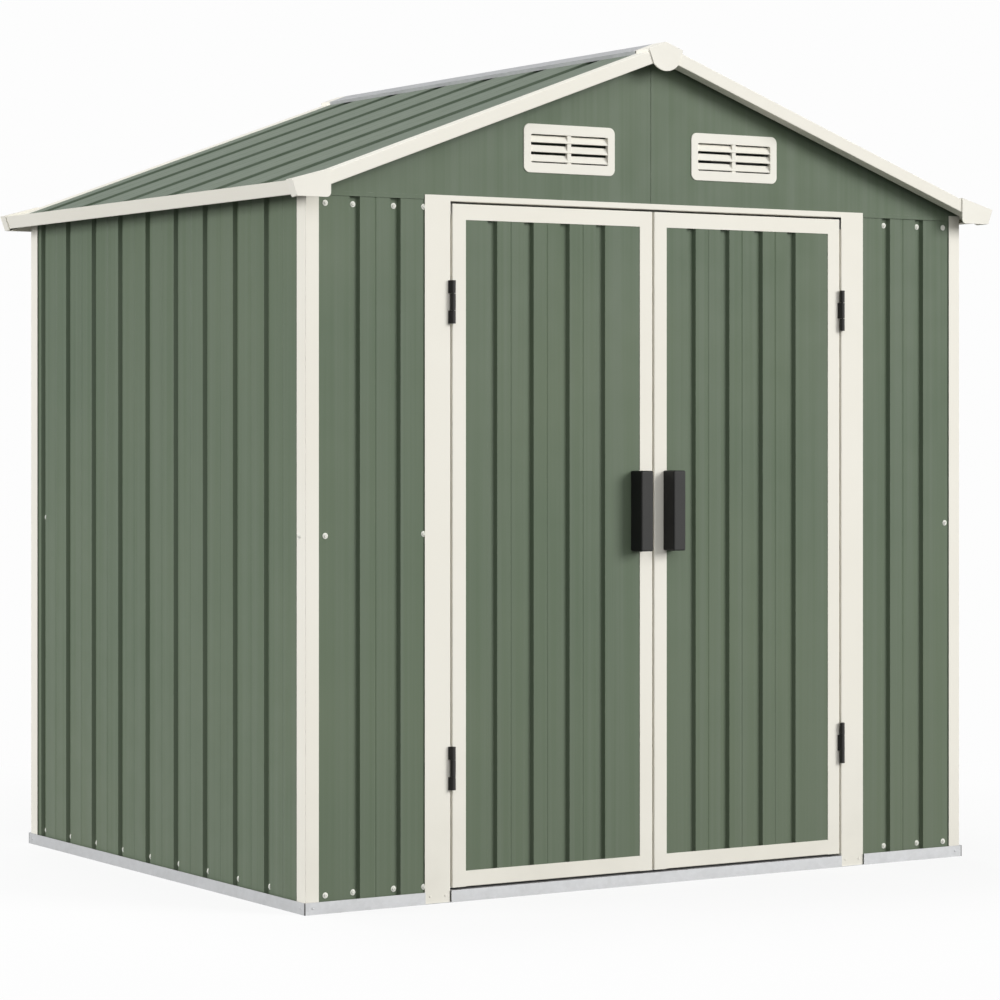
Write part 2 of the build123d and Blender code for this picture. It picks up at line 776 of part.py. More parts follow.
with BuildPart() as roof_purlins:
    with BuildSketch(Plane.XZ.offset(-beam_end)):
        section([
            on_slope(purlin_along, 0), on_slope(purlin_along + purlin_width, 0),
            on_slope(purlin_along + purlin_width, -purlin_height),
            on_slope(purlin_along + purlin_width - trim, -purlin_height),
            on_slope(purlin_along + purlin_width - trim, -trim), on_slope(purlin_along + trim, -trim),
            on_slope(purlin_along + trim, -purlin_height), on_slope(purlin_along, -purlin_height),
        ])
    extrude(amount=2 * beam_end)
    mirror(about=Plane.YZ)
roof_purlins.part.label = "roof_purlins"

# Door leaf frame: channel stiles at both edges, rails between them and a brace behind the sheet
door_height = door_top - door_bottom
stile_section = [
    (0, 0), (stile_face, 0), (stile_face, trim), (trim, trim), (trim, door_depth - trim),
    (stile_back, door_depth - trim), (stile_back, door_depth), (0, door_depth),
]

with BuildPart() as right_door_stiles:
    with BuildSketch(Plane.XY.offset(door_bottom)):
        for edge, inward in ((leaf_inner, 1), (leaf_outer, -1)):
            section([(edge + inward * x, front(door_face + y)) for x, y in stile_section])
            fold((edge, front(door_face)), (edge + inward * trim, front(door_face + trim)))
            fold((edge, front(door_back)), (edge + inward * trim, front(door_back - trim)))
    extrude(amount=door_height)
right_door_stiles.part.label = "right_door_stiles"

with BuildPart() as right_door_rails:
    with BuildSketch(Plane.YZ.offset(leaf_inner + stile_face)):
        for edge, inward in ((door_bottom, 1), (door_top, -1)):
            section([(front(door_face + y), edge + inward * z) for z, y in stile_section])
            fold((front(door_face), edge), (front(door_face + trim), edge + inward * trim))
            fold((front(door_back), edge), (front(door_back - trim), edge + inward * trim))
    extrude(amount=leaf_width - 2 * stile_face)
    with BuildSketch(Plane.YZ.offset(leaf_inner + stile_back)):
        brace_front = front(door_face + trim + rib_depth + sheet)
        brace_back = front(door_back - trim)
        low = brace_centre - brace_height / 2
        high = brace_centre + brace_height / 2
        section([
            (brace_front, low), (brace_back, low), (brace_back, high), (brace_front, high),
            (brace_front, high - trim), (brace_back - trim, high - trim),
            (brace_back - trim, low + trim), (brace_front, low + trim),
        ])
    extrude(amount=leaf_width - 2 * stile_back)
right_door_rails.part.label = "right_door_rails"

leaf_middle = (leaf_inner + leaf_outer) / 2
pattern_middle = leaf_middle + door_pattern_shift
pattern_reach = door_pitch * (door_groove_count - 1) / 2
leaf_grooves = evenly(
    pattern_middle - pattern_reach, pattern_middle + pattern_reach, door_groove_count,
)

with BuildPart() as right_door_panel:
    with BuildSketch(Plane.XY.offset(door_bottom + trim + panel_clear)):
        section(ribbed_outline(
            leaf_inner + trim + panel_clear, leaf_outer - trim - panel_clear, leaf_grooves,
            door_groove, rib_depth, groove_run, front(door_face + trim),
        ))
    extrude(amount=door_height - 2 * trim - 2 * panel_clear)
right_door_panel.part.label = "right_door_panel"

with BuildPart() as right_door_handle:
    handle_bottom = brace_centre - handle_height / 2
    with BuildSketch(Plane.XY.offset(handle_bottom)):
        with Locations((handle_inner + handle_width / 2, front(door_face - handle_depth / 2))):
            Rectangle(handle_width, handle_depth)
    extrude(amount=handle_height)
    against_door = right_door_handle.faces().sort_by(Axis.Y)[-1]
    held_edges = against_door.edges()
    fillet([edge for edge in right_door_handle.edges() if edge not in held_edges], handle_edge)
right_door_handle.part.label = "right_door_handle"

with BuildPart() as left_door_stiles:
    mirror(right_door_stiles.part, about=Plane.YZ)
left_door_stiles.part.label = "left_door_stiles"

with BuildPart() as left_door_rails:
    mirror(right_door_rails.part, about=Plane.YZ)
left_door_rails.part.label = "left_door_rails"

# The left leaf carries the same sheet, so its pattern is moved and not mirrored
with BuildPart() as left_door_panel:
    with Locations((-2 * leaf_middle, 0, 0)):
        add(right_door_panel.part)
left_door_panel.part.label = "left_door_panel"

with BuildPart() as left_door_handle:
    mirror(right_door_handle.part, about=Plane.YZ)
left_door_handle.part.label = "left_door_handle"

# Hinges: fixed knuckles with the pin on the post, one moving knuckle on the leaf
fixed_knuckle = (hinge_height - moving_knuckle) / 2 - knuckle_gap
knuckle_web = [
    (door_gap / 2, 0), (hinge_neck, 0), (hinge_half_width, hinge_reach - hinge_leaf),
    (hinge_half_width, hinge_reach), (door_gap / 2, hinge_reach),
]


def knuckle(low, height, side):
    """A knuckle with its web, on the post side or the leaf side of the pin."""
    with BuildSketch(Plane.XY.offset(low)) as outline:
        with Locations((hinge_x, front(door_face - hinge_reach))):
            Circle(knuckle_radius)
        section([(hinge_x + side * x, front(hinge_y + y)) for x, y in knuckle_web])
    extrude(outline.sketch, amount=height)


with BuildPart() as hinges_fixed:
    for centre in (hinge_low, hinge_high):
        knuckle(centre - hinge_height / 2, fixed_knuckle, 1)
        knuckle(centre + hinge_height / 2 - fixed_knuckle, fixed_knuckle, 1)
        with BuildSketch(Plane.XY.offset(centre - hinge_height / 2)):
            with Locations((hinge_x, front(door_face - hinge_reach))):
                Circle(pin_radius)
        extrude(amount=hinge_height)
    mirror(about=Plane.YZ)
hinges_fixed.part.label = "hinges_fixed"

with BuildPart() as right_door_hinges:
    for centre in (hinge_low, hinge_high):
        knuckle(centre - moving_knuckle / 2, moving_knuckle, -1)
        with BuildSketch(Plane.XY.offset(centre - moving_knuckle / 2)):
            with Locations((hinge_x, front(door_face - hinge_reach))):
                Circle(pin_radius + pin_clearance)
        extrude(amount=moving_knuckle, mode=Mode.SUBTRACT)
right_door_hinges.part.label = "right_door_hinges"

with BuildPart() as left_door_hinges:
    mirror(right_door_hinges.part, about=Plane.YZ)
left_door_hinges.part.label = "left_door_hinges"

pieces = [
    base_rail_front, base_rail_rear, base_rail_left, base_rail_right, front_base_angles, door_sill,
    corner_posts_front, corner_posts_rear, wall_left, wall_right, wall_front_left, wall_front_right,
    wall_rear, door_post_left, door_post_right, door_header, top_rail_left, top_rail_right,
    top_rails_front, top_rail_rear, mid_rails_side, mid_rails_front, mid_rail_rear,
    gable_front_left, gable_front_right, gable_rear_left, gable_rear_right, vents_front, vents_rear,
    roof_panel_left, roof_panel_right, verge_trims_front, verge_trims_rear, eave_trim_left,
    eave_trim_right, ridge_cap, ridge_end_caps, corner_caps, ridge_beam, roof_purlins,
    left_door_stiles, left_door_rails, left_door_panel, left_door_handle, left_door_hinges,
    right_door_stiles, right_door_rails, right_door_panel, right_door_handle, right_door_hinges,
    hinges_fixed,
]
for piece in pieces:
    export_step(piece.part, f"parts/{piece.part.label}.step")
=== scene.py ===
import json
import math

import bmesh
import bpy
from mathutils import Matrix, Vector


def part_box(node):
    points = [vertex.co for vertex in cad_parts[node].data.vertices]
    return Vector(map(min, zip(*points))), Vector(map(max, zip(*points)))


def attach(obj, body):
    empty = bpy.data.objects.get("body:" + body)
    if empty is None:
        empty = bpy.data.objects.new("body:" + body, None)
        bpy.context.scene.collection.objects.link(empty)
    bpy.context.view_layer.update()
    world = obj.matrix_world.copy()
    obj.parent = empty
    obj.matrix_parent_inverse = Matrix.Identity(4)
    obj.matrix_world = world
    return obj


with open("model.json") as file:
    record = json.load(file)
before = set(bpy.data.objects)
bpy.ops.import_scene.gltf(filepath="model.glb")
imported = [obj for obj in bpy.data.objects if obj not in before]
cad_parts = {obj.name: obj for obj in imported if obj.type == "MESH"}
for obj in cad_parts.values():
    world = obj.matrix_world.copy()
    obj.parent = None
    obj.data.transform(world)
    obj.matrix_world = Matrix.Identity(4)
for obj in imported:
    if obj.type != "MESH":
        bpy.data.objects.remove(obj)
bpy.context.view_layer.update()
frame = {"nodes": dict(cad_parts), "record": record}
nodes = frame["nodes"]

# Camera: level, with the photograph's place, turn, lens and shift, in metres, radians and millimetres
CAMERA_PLACE = (-4.561, -7.307, 1.121)
CAMERA_TURN = -0.5616
CAMERA_LENS = 118.4
CAMERA_SENSOR = 36.0
CAMERA_SHIFT = -0.0786
CAMERA_REACH = 200.0

# Paint, plastic and metal colours, as display values from 0 to 255
GREEN = (92, 106, 86)
GREEN_CLOUD_DARK = (90, 110, 92)
GREEN_CLOUD_PALE = (150, 158, 132)
ROOF_GREEN = (109, 120, 106)
# Painted shade for the valleys of the roof, darker than the roof's paint
VALLEY_SHADE_GREEN = (68, 82, 65)
GREEN_WORN = (196, 198, 190)
CREAM = (237, 234, 224)
CREAM_CLOUD = (222, 216, 200)
CREAM_WORN = (168, 166, 158)
CREAM_MOULDED = (239, 236, 226)
CREAM_MOULDED_WORN = (214, 206, 190)
ZINC = (190, 191, 193)
ZINC_BLOOM = (226, 227, 228)
SEAM = (70, 70, 70)
BLACK = (34, 34, 34)
# Painted highlight: a paler black for the front faces of the handles, as if lit from the front
BLACK_FRONT_LIT = (56, 56, 55)
BLACK_WORN = (84, 84, 84)
HINGE_BLACK = (34, 33, 31)
# Painted highlight: a paler black for the front faces of the hinges, as if lit from the front
HINGE_FRONT_LIT = (62, 61, 60)
HINGE_WORN = (96, 94, 90)
SCREW_PALE = (238, 238, 230)
SCREW_WORN = (150, 150, 146)
# Patchy grey tone mixed into the finishes near the ground
LOW_GREY = (112, 112, 98)

# Linear black and white, to shade a paint with
FULL_BLACK = (0, 0, 0, 1)
FULL_WHITE = (1, 1, 1, 1)

# Backdrop, floor and world
BACKGROUND = (253, 253, 253)
FLOOR_BOUNCE = (108, 108, 106)
FLOOR_REACH = 60.0
FLOOR_FADE_START = 1.2
FLOOR_FADE_END = 2.6
FLOOR_FADE_SHARE = 0.87
AMBIENT_COLOUR = (0.97, 0.985, 1.0, 1)
AMBIENT_LEVEL = 0.32
LAMP_AIM = (0.0, 0.0, 1.0)
KEY_COLOUR = (1.0, 0.995, 0.98)

# Fastener sizes, in metres, and how far each next one is turned, in radians
WASHER_RADIUS = 0.0070
WASHER_THICKNESS = 0.0012
HEAD_RADIUS = 0.0038
HEAD_HEIGHT = 0.0022
RECESS_LENGTH = 0.0044
RECESS_WIDTH = 0.0010
RECESS_DEPTH = 0.0009
RIVET_RADIUS = 0.0030
RIVET_HEIGHT = 0.0009
SCREW_STEPS = 28
RIVET_STEPS = 20
TURN_STEP = 0.9
SAME_PLACE = 1e-6

# Heights of the rows of wall screws
SCREW_TOP_DROP = 0.031
SCREW_BOTTOM = 0.041
SCREW_MIDDLE = 0.860
SIDE_MIDDLE_RISE = 0.008

# Screws of the front: from the side edge of the base, and off the door post
FLAT_SCREW_INSET = 0.057
RIGHT_MIDDLE_INSET = 0.051
POST_SCREW_OFFSET = 0.0015
FRONT_GROOVES = (0.722, 0.830)

# Screws of the sides and the rear, in the grooves of the sheets, and on the side of the corner post
RIB_DEPTH = 0.010
SIDE_GROOVE_FROM_FRONT = 0.038
SIDE_GROOVE_FROM_REAR = 0.078
SIDE_GROOVE_COUNT = 10
SIDE_SCREW_OFFSET = 0.0038
CORNER_SCREW_INSET = 0.034
REAR_GROOVE_FROM_END = 0.0947
REAR_GROOVE_COUNT = 12
REAR_MIDDLE_GROOVES = (0, 4, 7, 11)

# Valleys of the roof
ROOF_GROOVE_FROM_FRONT = 0.188
ROOF_GROOVE_FROM_REAR = 0.112
ROOF_GROOVE_COUNT = 6

# Rivets of the base rail and the door posts, and the screws of the handles
RIVET_FROM_CORNER = 0.021
RIVET_HEIGHT_ON_RAIL = 0.0145
FOOT_RIVET_INSET = 0.014
FOOT_RIVET_HEIGHT = 0.017
HANDLE_SCREW_SHIFT = 0.008

# Sockets of the colour mix node, by number because their names aren't unique
MIX_FIRST = 6
MIX_SECOND = 7
MIX_RESULT = 2


def linear(colour):
    """Linear colour of a display colour."""
    values = []
    for value in colour:
        share = value / 255
        values.append(share / 12.92 if share <= 0.04045 else ((share + 0.055) / 1.055) ** 2.4)
    return (*values, 1.0)


def mixed(colour, other, share):
    """A colour part of the way to another one."""
    return tuple(a + (b - a) * share for a, b in zip(colour, other))


def either_ray(tree, first_kind, second_kind):
    """1 for the light paths of two kinds, 0 for the others."""
    rays = tree.nodes.new("ShaderNodeLightPath")
    either = tree.nodes.new("ShaderNodeMath")
    either.operation = "MAXIMUM"
    tree.links.new(rays.outputs[first_kind], either.inputs[0])
    tree.links.new(rays.outputs[second_kind], either.inputs[1])
    return either.outputs["Value"]


def shader_mix(tree, share, first, second):
    """The first shader where the share is 0, the second where it is 1."""
    mix = tree.nodes.new("ShaderNodeMixShader")
    tree.links.new(share, mix.inputs["Fac"])
    tree.links.new(first, mix.inputs[1])
    tree.links.new(second, mix.inputs[2])
    return mix.outputs["Shader"]


class Shader:
    """A node material with short calls for the nodes that the finishes share."""

    def __init__(self, name):
        self.material = bpy.data.materials.new(name)
        self.material.use_nodes = True
        self.tree = self.material.node_tree
        self.nodes = self.tree.nodes
        self.links = self.tree.links
        self.principled = self.nodes["Principled BSDF"]
        coordinates = self.nodes.new("ShaderNodeTexCoord")
        self.place = coordinates.outputs["Object"]
        self.normal = coordinates.outputs["Normal"]

    def noise(self, scale, stretch=(1, 1, 1), detail=3.0, roughness=0.5):
        """Soft noise from 0 to 1, finer along the axes that are stretched."""
        mapping = self.nodes.new("ShaderNodeMapping")
        mapping.inputs["Scale"].default_value = stretch
        self.links.new(self.place, mapping.inputs["Vector"])
        texture = self.nodes.new("ShaderNodeTexNoise")
        texture.inputs["Scale"].default_value = scale
        texture.inputs["Detail"].default_value = detail
        texture.inputs["Roughness"].default_value = roughness
        self.links.new(mapping.outputs["Vector"], texture.inputs["Vector"])
        return texture.outputs["Fac"]

    def cells(self, scale):
        """One value from 0 to 1 for each cell of a pattern of crystals."""
        texture = self.nodes.new("ShaderNodeTexVoronoi")
        texture.inputs["Scale"].default_value = scale
        self.links.new(self.place, texture.inputs["Vector"])
        separate = self.nodes.new("ShaderNodeSeparateColor")
        self.links.new(texture.outputs["Color"], separate.inputs["Color"])
        return separate.outputs["Red"]

    def spread(self, value, low, high, to_low, to_high):
        """A value moved from one range to another and held at its ends."""
        span = self.nodes.new("ShaderNodeMapRange")
        span.inputs["From Min"].default_value = low
        span.inputs["From Max"].default_value = high
        span.inputs["To Min"].default_value = to_low
        span.inputs["To Max"].default_value = to_high
        self.links.new(value, span.inputs["Value"])
        return span.outputs["Result"]

    def patches(self, scale, to_low, to_high, low=0.3, high=0.7, **noise):
        """Noise moved to a range, with flat patches where it passes the low and high limits."""
        return self.spread(self.noise(scale, **noise), low, high, to_low, to_high)

    def multiply(self, value, other):
        """The product of two values."""
        node = self.nodes.new("ShaderNodeMath")
        node.operation = "MULTIPLY"
        self.links.new(value, node.inputs[0])
        self.links.new(other, node.inputs[1])
        return node.outputs["Value"]

    def calculate(self, operation, value, *numbers):
        """A value after one operation with fixed numbers."""
        node = self.nodes.new("ShaderNodeMath")
        node.operation = operation
        self.links.new(value, node.inputs[0])
        for socket, number in zip(node.inputs[1:], numbers):
            socket.default_value = number
        return node.outputs["Value"]

    def blend(self, share, first, second):
        """The first colour where the share is 0, the second where it is 1."""
        node = self.nodes.new("ShaderNodeMix")
        node.data_type = "RGBA"
        self.links.new(share, node.inputs["Factor"])
        for colour, number in ((first, MIX_FIRST), (second, MIX_SECOND)):
            socket = node.inputs[number]
            if isinstance(colour, tuple):
                socket.default_value = colour
            else:
                self.links.new(colour, socket)
        return node.outputs[MIX_RESULT]

    def along(self, axis, vector=None):
        """The place along an axis, or another vector's share of it."""
        separate = self.nodes.new("ShaderNodeSeparateXYZ")
        self.links.new(self.place if vector is None else vector, separate.inputs["Vector"])
        return separate.outputs[axis]

    def from_rows(self, axis, first, pitch):
        """Distance to the nearest of the rows that are a pitch apart along an axis."""
        return self.calculate("PINGPONG", self.calculate("SUBTRACT", self.along(axis), first), pitch / 2)

    def near(self, axis, distance, width):
        """1 at a distance from the middle on an axis, either way, and 0 a width off it."""
        away = self.calculate("SUBTRACT", self.calculate("ABSOLUTE", self.along(axis)), distance)
        return self.spread(self.calculate("ABSOLUTE", away), width / 2, width, 1.0, 0.0)

    def outward(self, low, high):
        """1 on the faces that look to the front of the object, 0 on the others."""
        return self.spread(self.along("Y", self.normal), -low, -high, 0.0, 1.0)

    def worn_edges(self, radius, reach):
        """Share of wear: high where rounding the edges would turn the surface."""
        rounded = self.nodes.new("ShaderNodeBevel")
        rounded.samples = 4
        rounded.inputs["Radius"].default_value = radius
        flat = self.nodes.new("ShaderNodeNewGeometry")
        turn = self.nodes.new("ShaderNodeVectorMath")
        turn.operation = "DOT_PRODUCT"
        self.links.new(rounded.outputs["Normal"], turn.inputs[0])
        self.links.new(flat.outputs["Normal"], turn.inputs[1])
        return self.spread(turn.outputs["Value"], 0.98, 0.75, 0.0, reach)

    def greyed_low(self, tone, top, amount, patches, bottom=0.0):
        """A tone with a patchy grey tone mixed in, most at a low height and gone at a higher one."""
        low = self.spread(self.along("Z"), bottom, top, amount, 0.0)
        return self.blend(self.multiply(low, patches), tone, linear(LOW_GREY))

    def bumps(self, *layers):
        """Bump from (height, strength, distance) layers, one on the other."""
        normal = None
        for value, strength, distance in layers:
            bump = self.nodes.new("ShaderNodeBump")
            bump.inputs["Strength"].default_value = strength
            bump.inputs["Distance"].default_value = distance
            self.links.new(value, bump.inputs["Height"])
            if normal is not None:
                self.links.new(normal, bump.inputs["Normal"])
            normal = bump.outputs["Normal"]
        self.links.new(normal, self.principled.inputs["Normal"])

    def finish(self, colour, roughness, specular, metallic=0.0):
        """The material, with its colour and roughness joined up."""
        self.links.new(colour, self.principled.inputs["Base Color"])
        self.links.new(roughness, self.principled.inputs["Roughness"])
        self.principled.inputs["Metallic"].default_value = metallic
        self.principled.inputs["Specular IOR Level"].default_value = specular
        return self.material


def painted_sheet(name, colour, low_grey_share, grain=(55, 55, 0.45), valleys=None):
    """Coil-coated sheet: cloudy colour, faint rolling streaks, a patchy grey tone near the ground,
    orange peel, and painted shade in the valleys and along their edges, where a row of them is given by
    its first place and its pitch."""
    shader = Shader(name)
    paint = linear(colour)
    cloud_share = 0.10
    tone = shader.blend(
        shader.patches(1.6, 0.0, 1.0, detail=4.0),
        mixed(paint, linear(GREEN_CLOUD_DARK), cloud_share),
        mixed(paint, linear(GREEN_CLOUD_PALE), cloud_share),
    )
    streaks = shader.patches(1.0, 0.0, 0.60, 0.38, 0.66, stretch=grain, detail=5.0, roughness=0.6)
    tone = shader.blend(streaks, tone, mixed(paint, FULL_WHITE, 0.045))
    patchy = shader.patches(9.0, 0.5, 1.0, 0.3, 0.75, detail=6.0)
    # Patchy grey tone mixed in near the ground
    tone = shader.greyed_low(tone, 0.60, low_grey_share, patchy, bottom=0.02)
    if valleys:
        # Painted shade: the valleys of the roof, and the edges of the crests beside them, are painted
        # darker where shade would fall in them
        valley_shade = shader.multiply(
            shader.spread(shader.from_rows("Y", *valleys), 0.027, 0.044, 0.85, 0.0),
            shader.patches(1.0, 0.75, 1.0, stretch=(4, 30, 30), detail=4.0),
        )
        tone = shader.blend(valley_shade, tone, linear(VALLEY_SHADE_GREEN))
    worn = shader.multiply(shader.worn_edges(0.0012, 0.35), shader.patches(70.0, 0.0, 1.0, 0.45, 0.7))
    tone = shader.blend(worn, tone, linear(GREEN_WORN))
    waves = shader.noise(1.0, stretch=(7, 7, 0.9), detail=1.0)
    peel = shader.noise(650.0, detail=2.0)
    shader.bumps((waves, 0.35, 0.0016), (peel, 0.10, 0.00025))
    return shader.finish(tone, shader.patches(14.0, 0.46, 0.58, detail=5.0), specular=0.18)


def painted_trim(name, colour, low_grey_share):
    """Powder-coated folded trim: near even, with a fine orange peel and small chips on the folds."""
    shader = Shader(name)
    paint = linear(colour)
    cloudy = shader.patches(2.2, 0.0, 1.0, detail=4.0)
    tone = shader.blend(cloudy, mixed(paint, linear(CREAM_CLOUD), 0.22), paint)
    patchy = shader.patches(11.0, 0.2, 1.0, 0.3, 0.75, detail=6.0)
    # Patchy grey tone mixed in near the ground
    tone = shader.greyed_low(tone, 0.35, low_grey_share, patchy, bottom=0.01)
    worn = shader.multiply(shader.worn_edges(0.0011, 0.22), shader.patches(90.0, 0.0, 1.0, 0.55, 0.75))
    tone = shader.blend(worn, tone, linear(CREAM_WORN))
    waves = shader.noise(5.0, detail=1.0)
    peel = shader.noise(520.0, detail=2.0)
    shader.bumps((waves, 0.2, 0.0008), (peel, 0.12, 0.0003))
    return shader.finish(tone, shader.patches(18.0, 0.44, 0.56, detail=5.0), specular=0.20)


def moulded(name, colour, worn_colour, grain, rough, front_lit=None):
    """Injection-moulded part: a fine spark-eroded grain, rubbed smoother and paler on its edges,
    and a painted highlight that makes its front-facing faces paler, where that colour is given."""
    shader = Shader(name)
    base = linear(colour)
    cloudy = shader.patches(6.0, 0.0, 1.0, detail=4.0)
    tone = shader.blend(cloudy, mixed(base, FULL_BLACK, 0.05), mixed(base, FULL_WHITE, 0.01))
    if front_lit:
        # Painted highlight: the faces that look to the front are painted paler than the sides, as light
        # would show them
        tone = shader.blend(shader.outward(0.5, 0.95), tone, linear(front_lit))
    worn = shader.multiply(shader.worn_edges(0.0018, 0.35), shader.patches(60.0, 0.1, 1.0, 0.4, 0.75))
    tone = shader.blend(worn, tone, linear(worn_colour))
    shader.bumps((shader.noise(1500.0, detail=2.0), grain, 0.0003))
    gloss = shader.patches(30.0, rough - 0.05, rough + 0.06, detail=4.0)
    return shader.finish(tone, gloss, specular=0.16)


def galvanised(name, corner=None):
    """Zinc-coated steel: spangle, faint drawing lines and dull white bloom, and a dark seam up
    the corners where their place is given."""
    shader = Shader(name)
    base = linear(ZINC)
    spangle = shader.cells(95.0)
    tone = shader.blend(spangle, mixed(base, FULL_BLACK, 0.03), mixed(base, FULL_WHITE, 0.03))
    bloom = shader.patches(8.0, 0.0, 0.10, 0.45, 0.8, detail=6.0)
    tone = shader.blend(bloom, tone, linear(ZINC_BLOOM))
    # Patchy grey tone mixed in near the ground
    tone = shader.greyed_low(tone, 0.05, 0.14, shader.patches(40.0, 0.2, 1.0))
    if corner:
        seam_width = 0.0032
        seam = shader.multiply(*(shader.near(axis, at, seam_width) for axis, at in zip("XY", corner)))
        tone = shader.blend(seam, tone, linear(SEAM))
    drawn = shader.noise(1.0, stretch=(14, 14, 420), detail=3.0)
    shader.bumps((drawn, 0.10, 0.0003), (shader.noise(300.0), 0.08, 0.0003))
    return shader.finish(tone, shader.spread(spangle, 0.0, 1.0, 0.44, 0.50), specular=0.5, metallic=0.55)


# The base rail gives the outline of the shed on the floor
rail_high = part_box("base_rail_right")[1]
half_width = rail_high.x
half_depth = rail_high.y
roof_first = ROOF_GROOVE_FROM_FRONT - half_depth
roof_pitch = (half_depth - ROOF_GROOVE_FROM_REAR - roof_first) / (ROOF_GROOVE_COUNT - 1)

# A finish for each slot, and two more for the base rail, with its seams, and the screws
FINISHES = {
    "green_sheet": painted_sheet("green_sheet_paint", GREEN, low_grey_share=0.14),
    "roof_sheet": painted_sheet(
        "roof_sheet_paint", ROOF_GREEN, low_grey_share=0.0, grain=(0.9, 45, 45), valleys=(roof_first, roof_pitch),
    ),
    "cream_trim": painted_trim("cream_trim_paint", CREAM, low_grey_share=0.10),
    "cream_moulding": moulded(
        "cream_moulding_plastic", CREAM_MOULDED, CREAM_MOULDED_WORN, grain=0.10, rough=0.46,
    ),
    "zinc_steel": galvanised("zinc_steel_sheet"),
    "black_moulding": moulded(
        "black_moulding_plastic", BLACK, BLACK_WORN, grain=0.25, rough=0.47, front_lit=BLACK_FRONT_LIT,
    ),
    "black_hinge": moulded(
        "black_hinge_coating", HINGE_BLACK, HINGE_WORN, grain=0.20, rough=0.42, front_lit=HINGE_FRONT_LIT,
    ),
}
RAIL_FINISH = galvanised("base_rail_sheet", corner=(half_width, half_depth))
SCREW_FINISH = moulded("screw_head_coating", SCREW_PALE, SCREW_WORN, grain=0.15, rough=0.38)

for part in frame["record"]["subparts"]:
    mesh = nodes[part["node"]].data
    mesh.materials.clear()
    rail = part["node"].startswith("base_rail")
    mesh.materials.append(RAIL_FINISH if rail else FINISHES[part["material_slot"]])


def new_piece(name, mesh, body, finish):
    """A mesh as a piece of the object, riding its body."""
    piece = bpy.data.objects.new(name, mesh)
    bpy.context.scene.collection.objects.link(piece)
    mesh.materials.append(finish)
    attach(piece, body)
    return piece


def turned(profile, steps):
    """A smooth turned shape about Z from its profile of (radius, height)."""
    shape = bmesh.new()
    points = [shape.verts.new((radius, 0, height)) for radius, height in profile]
    edges = [shape.edges.new(pair) for pair in zip(points, points[1:])]
    bmesh.ops.spin(
        shape, geom=points + edges, cent=(0, 0, 0), axis=(0, 0, 1), angle=math.tau, steps=steps,
        use_merge=True,
    )
    bmesh.ops.remove_doubles(shape, verts=shape.verts, dist=SAME_PLACE)
    bmesh.ops.recalc_face_normals(shape, faces=shape.faces)
    for face in shape.faces:
        face.smooth = True
    return shape


def sink_cross(shape, top):
    """A cross recess cut into the open top of a turned shape, with its walls and its floor."""
    rim = [edge for edge in shape.edges if all(vert.co.z > top - SAME_PLACE for vert in edge.verts)]
    arm, half = RECESS_LENGTH / 2, RECESS_WIDTH / 2
    corners = []
    for turn in range(4):
        spin = Matrix.Rotation(-turn * math.pi / 2, 4, "Z")
        for point in ((arm, half, top), (arm, -half, top), (half, -half, top)):
            corners.append(shape.verts.new(spin @ Vector(point)))
    outline = [shape.edges.new(pair) for pair in zip(corners, corners[1:] + corners[:1])]
    bmesh.ops.triangle_fill(shape, edges=rim + outline, use_beauty=True)
    walls = bmesh.ops.extrude_edge_only(shape, edges=outline)["geom"]
    sunk = [item for item in walls if isinstance(item, bmesh.types.BMVert)]
    bmesh.ops.translate(shape, verts=sunk, vec=(0, 0, -RECESS_DEPTH))
    edges = [item for item in walls if isinstance(item, bmesh.types.BMEdge)]
    bottom = [edge for edge in edges if all(vert in sunk for vert in edge.verts)]
    bmesh.ops.triangle_fill(shape, edges=bottom, use_beauty=True)
    bmesh.ops.recalc_face_normals(shape, faces=shape.faces)


def washer_screw():
    """A pan-head screw with a cross recess on a domed washer, its foot at the origin."""
    foot = WASHER_THICKNESS
    top = foot + HEAD_HEIGHT
    shape = turned([
        (WASHER_RADIUS, 0.0),
        (WASHER_RADIUS, foot * 0.45),
        (WASHER_RADIUS * 0.93, foot * 0.8),
        (WASHER_RADIUS * 0.78, foot),
        (HEAD_RADIUS * 1.12, foot),
        (HEAD_RADIUS * 1.04, foot * 0.7),
        (HEAD_RADIUS, foot * 0.8),
        (HEAD_RADIUS, foot + HEAD_HEIGHT * 0.45),
        (HEAD_RADIUS * 0.92, foot + HEAD_HEIGHT * 0.78),
        (HEAD_RADIUS * 0.72, top),
    ], SCREW_STEPS)
    sink_cross(shape, top)
    return shape


def rivet():
    """A low domed rivet, its foot at the origin."""
    return turned([
        (RIVET_RADIUS, 0.0),
        (RIVET_RADIUS * 0.95, RIVET_HEIGHT * 0.5),
        (RIVET_RADIUS * 0.6, RIVET_HEIGHT * 0.92),
        (0.0, RIVET_HEIGHT),
    ], RIVET_STEPS)


def scattered(name, pattern, places, body, finish):
    """Copies of a small shape in one piece, each at a point, facing a direction, turned a little."""
    template = bpy.data.meshes.new(name + "_pattern")
    pattern.to_mesh(template)
    pattern.free()
    together = bmesh.new()
    for number, (point, facing) in enumerate(places):
        start = len(together.verts)
        together.from_mesh(template)
        together.verts.ensure_lookup_table()
        turn = Vector(facing).to_track_quat("Z", "Y").to_matrix().to_4x4()
        spin = Matrix.Rotation(number * TURN_STEP, 4, "Z")
        bmesh.ops.transform(
            together, matrix=Matrix.Translation(point) @ turn @ spin, verts=together.verts[start:],
        )
    mesh = bpy.data.meshes.new(name)
    together.to_mesh(mesh)
    together.free()
    bpy.data.meshes.remove(template)
    return new_piece(name, mesh, body, finish)


def wall_screws(name, places):
    """Washer screws on the walls, as one piece."""
    return scattered(name, washer_screw(), places, "shed", SCREW_FINISH)


def evenly(first, last, count):
    """Places in a row, the same distance apart."""
    return [first + (last - first) * number / (count - 1) for number in range(count)]


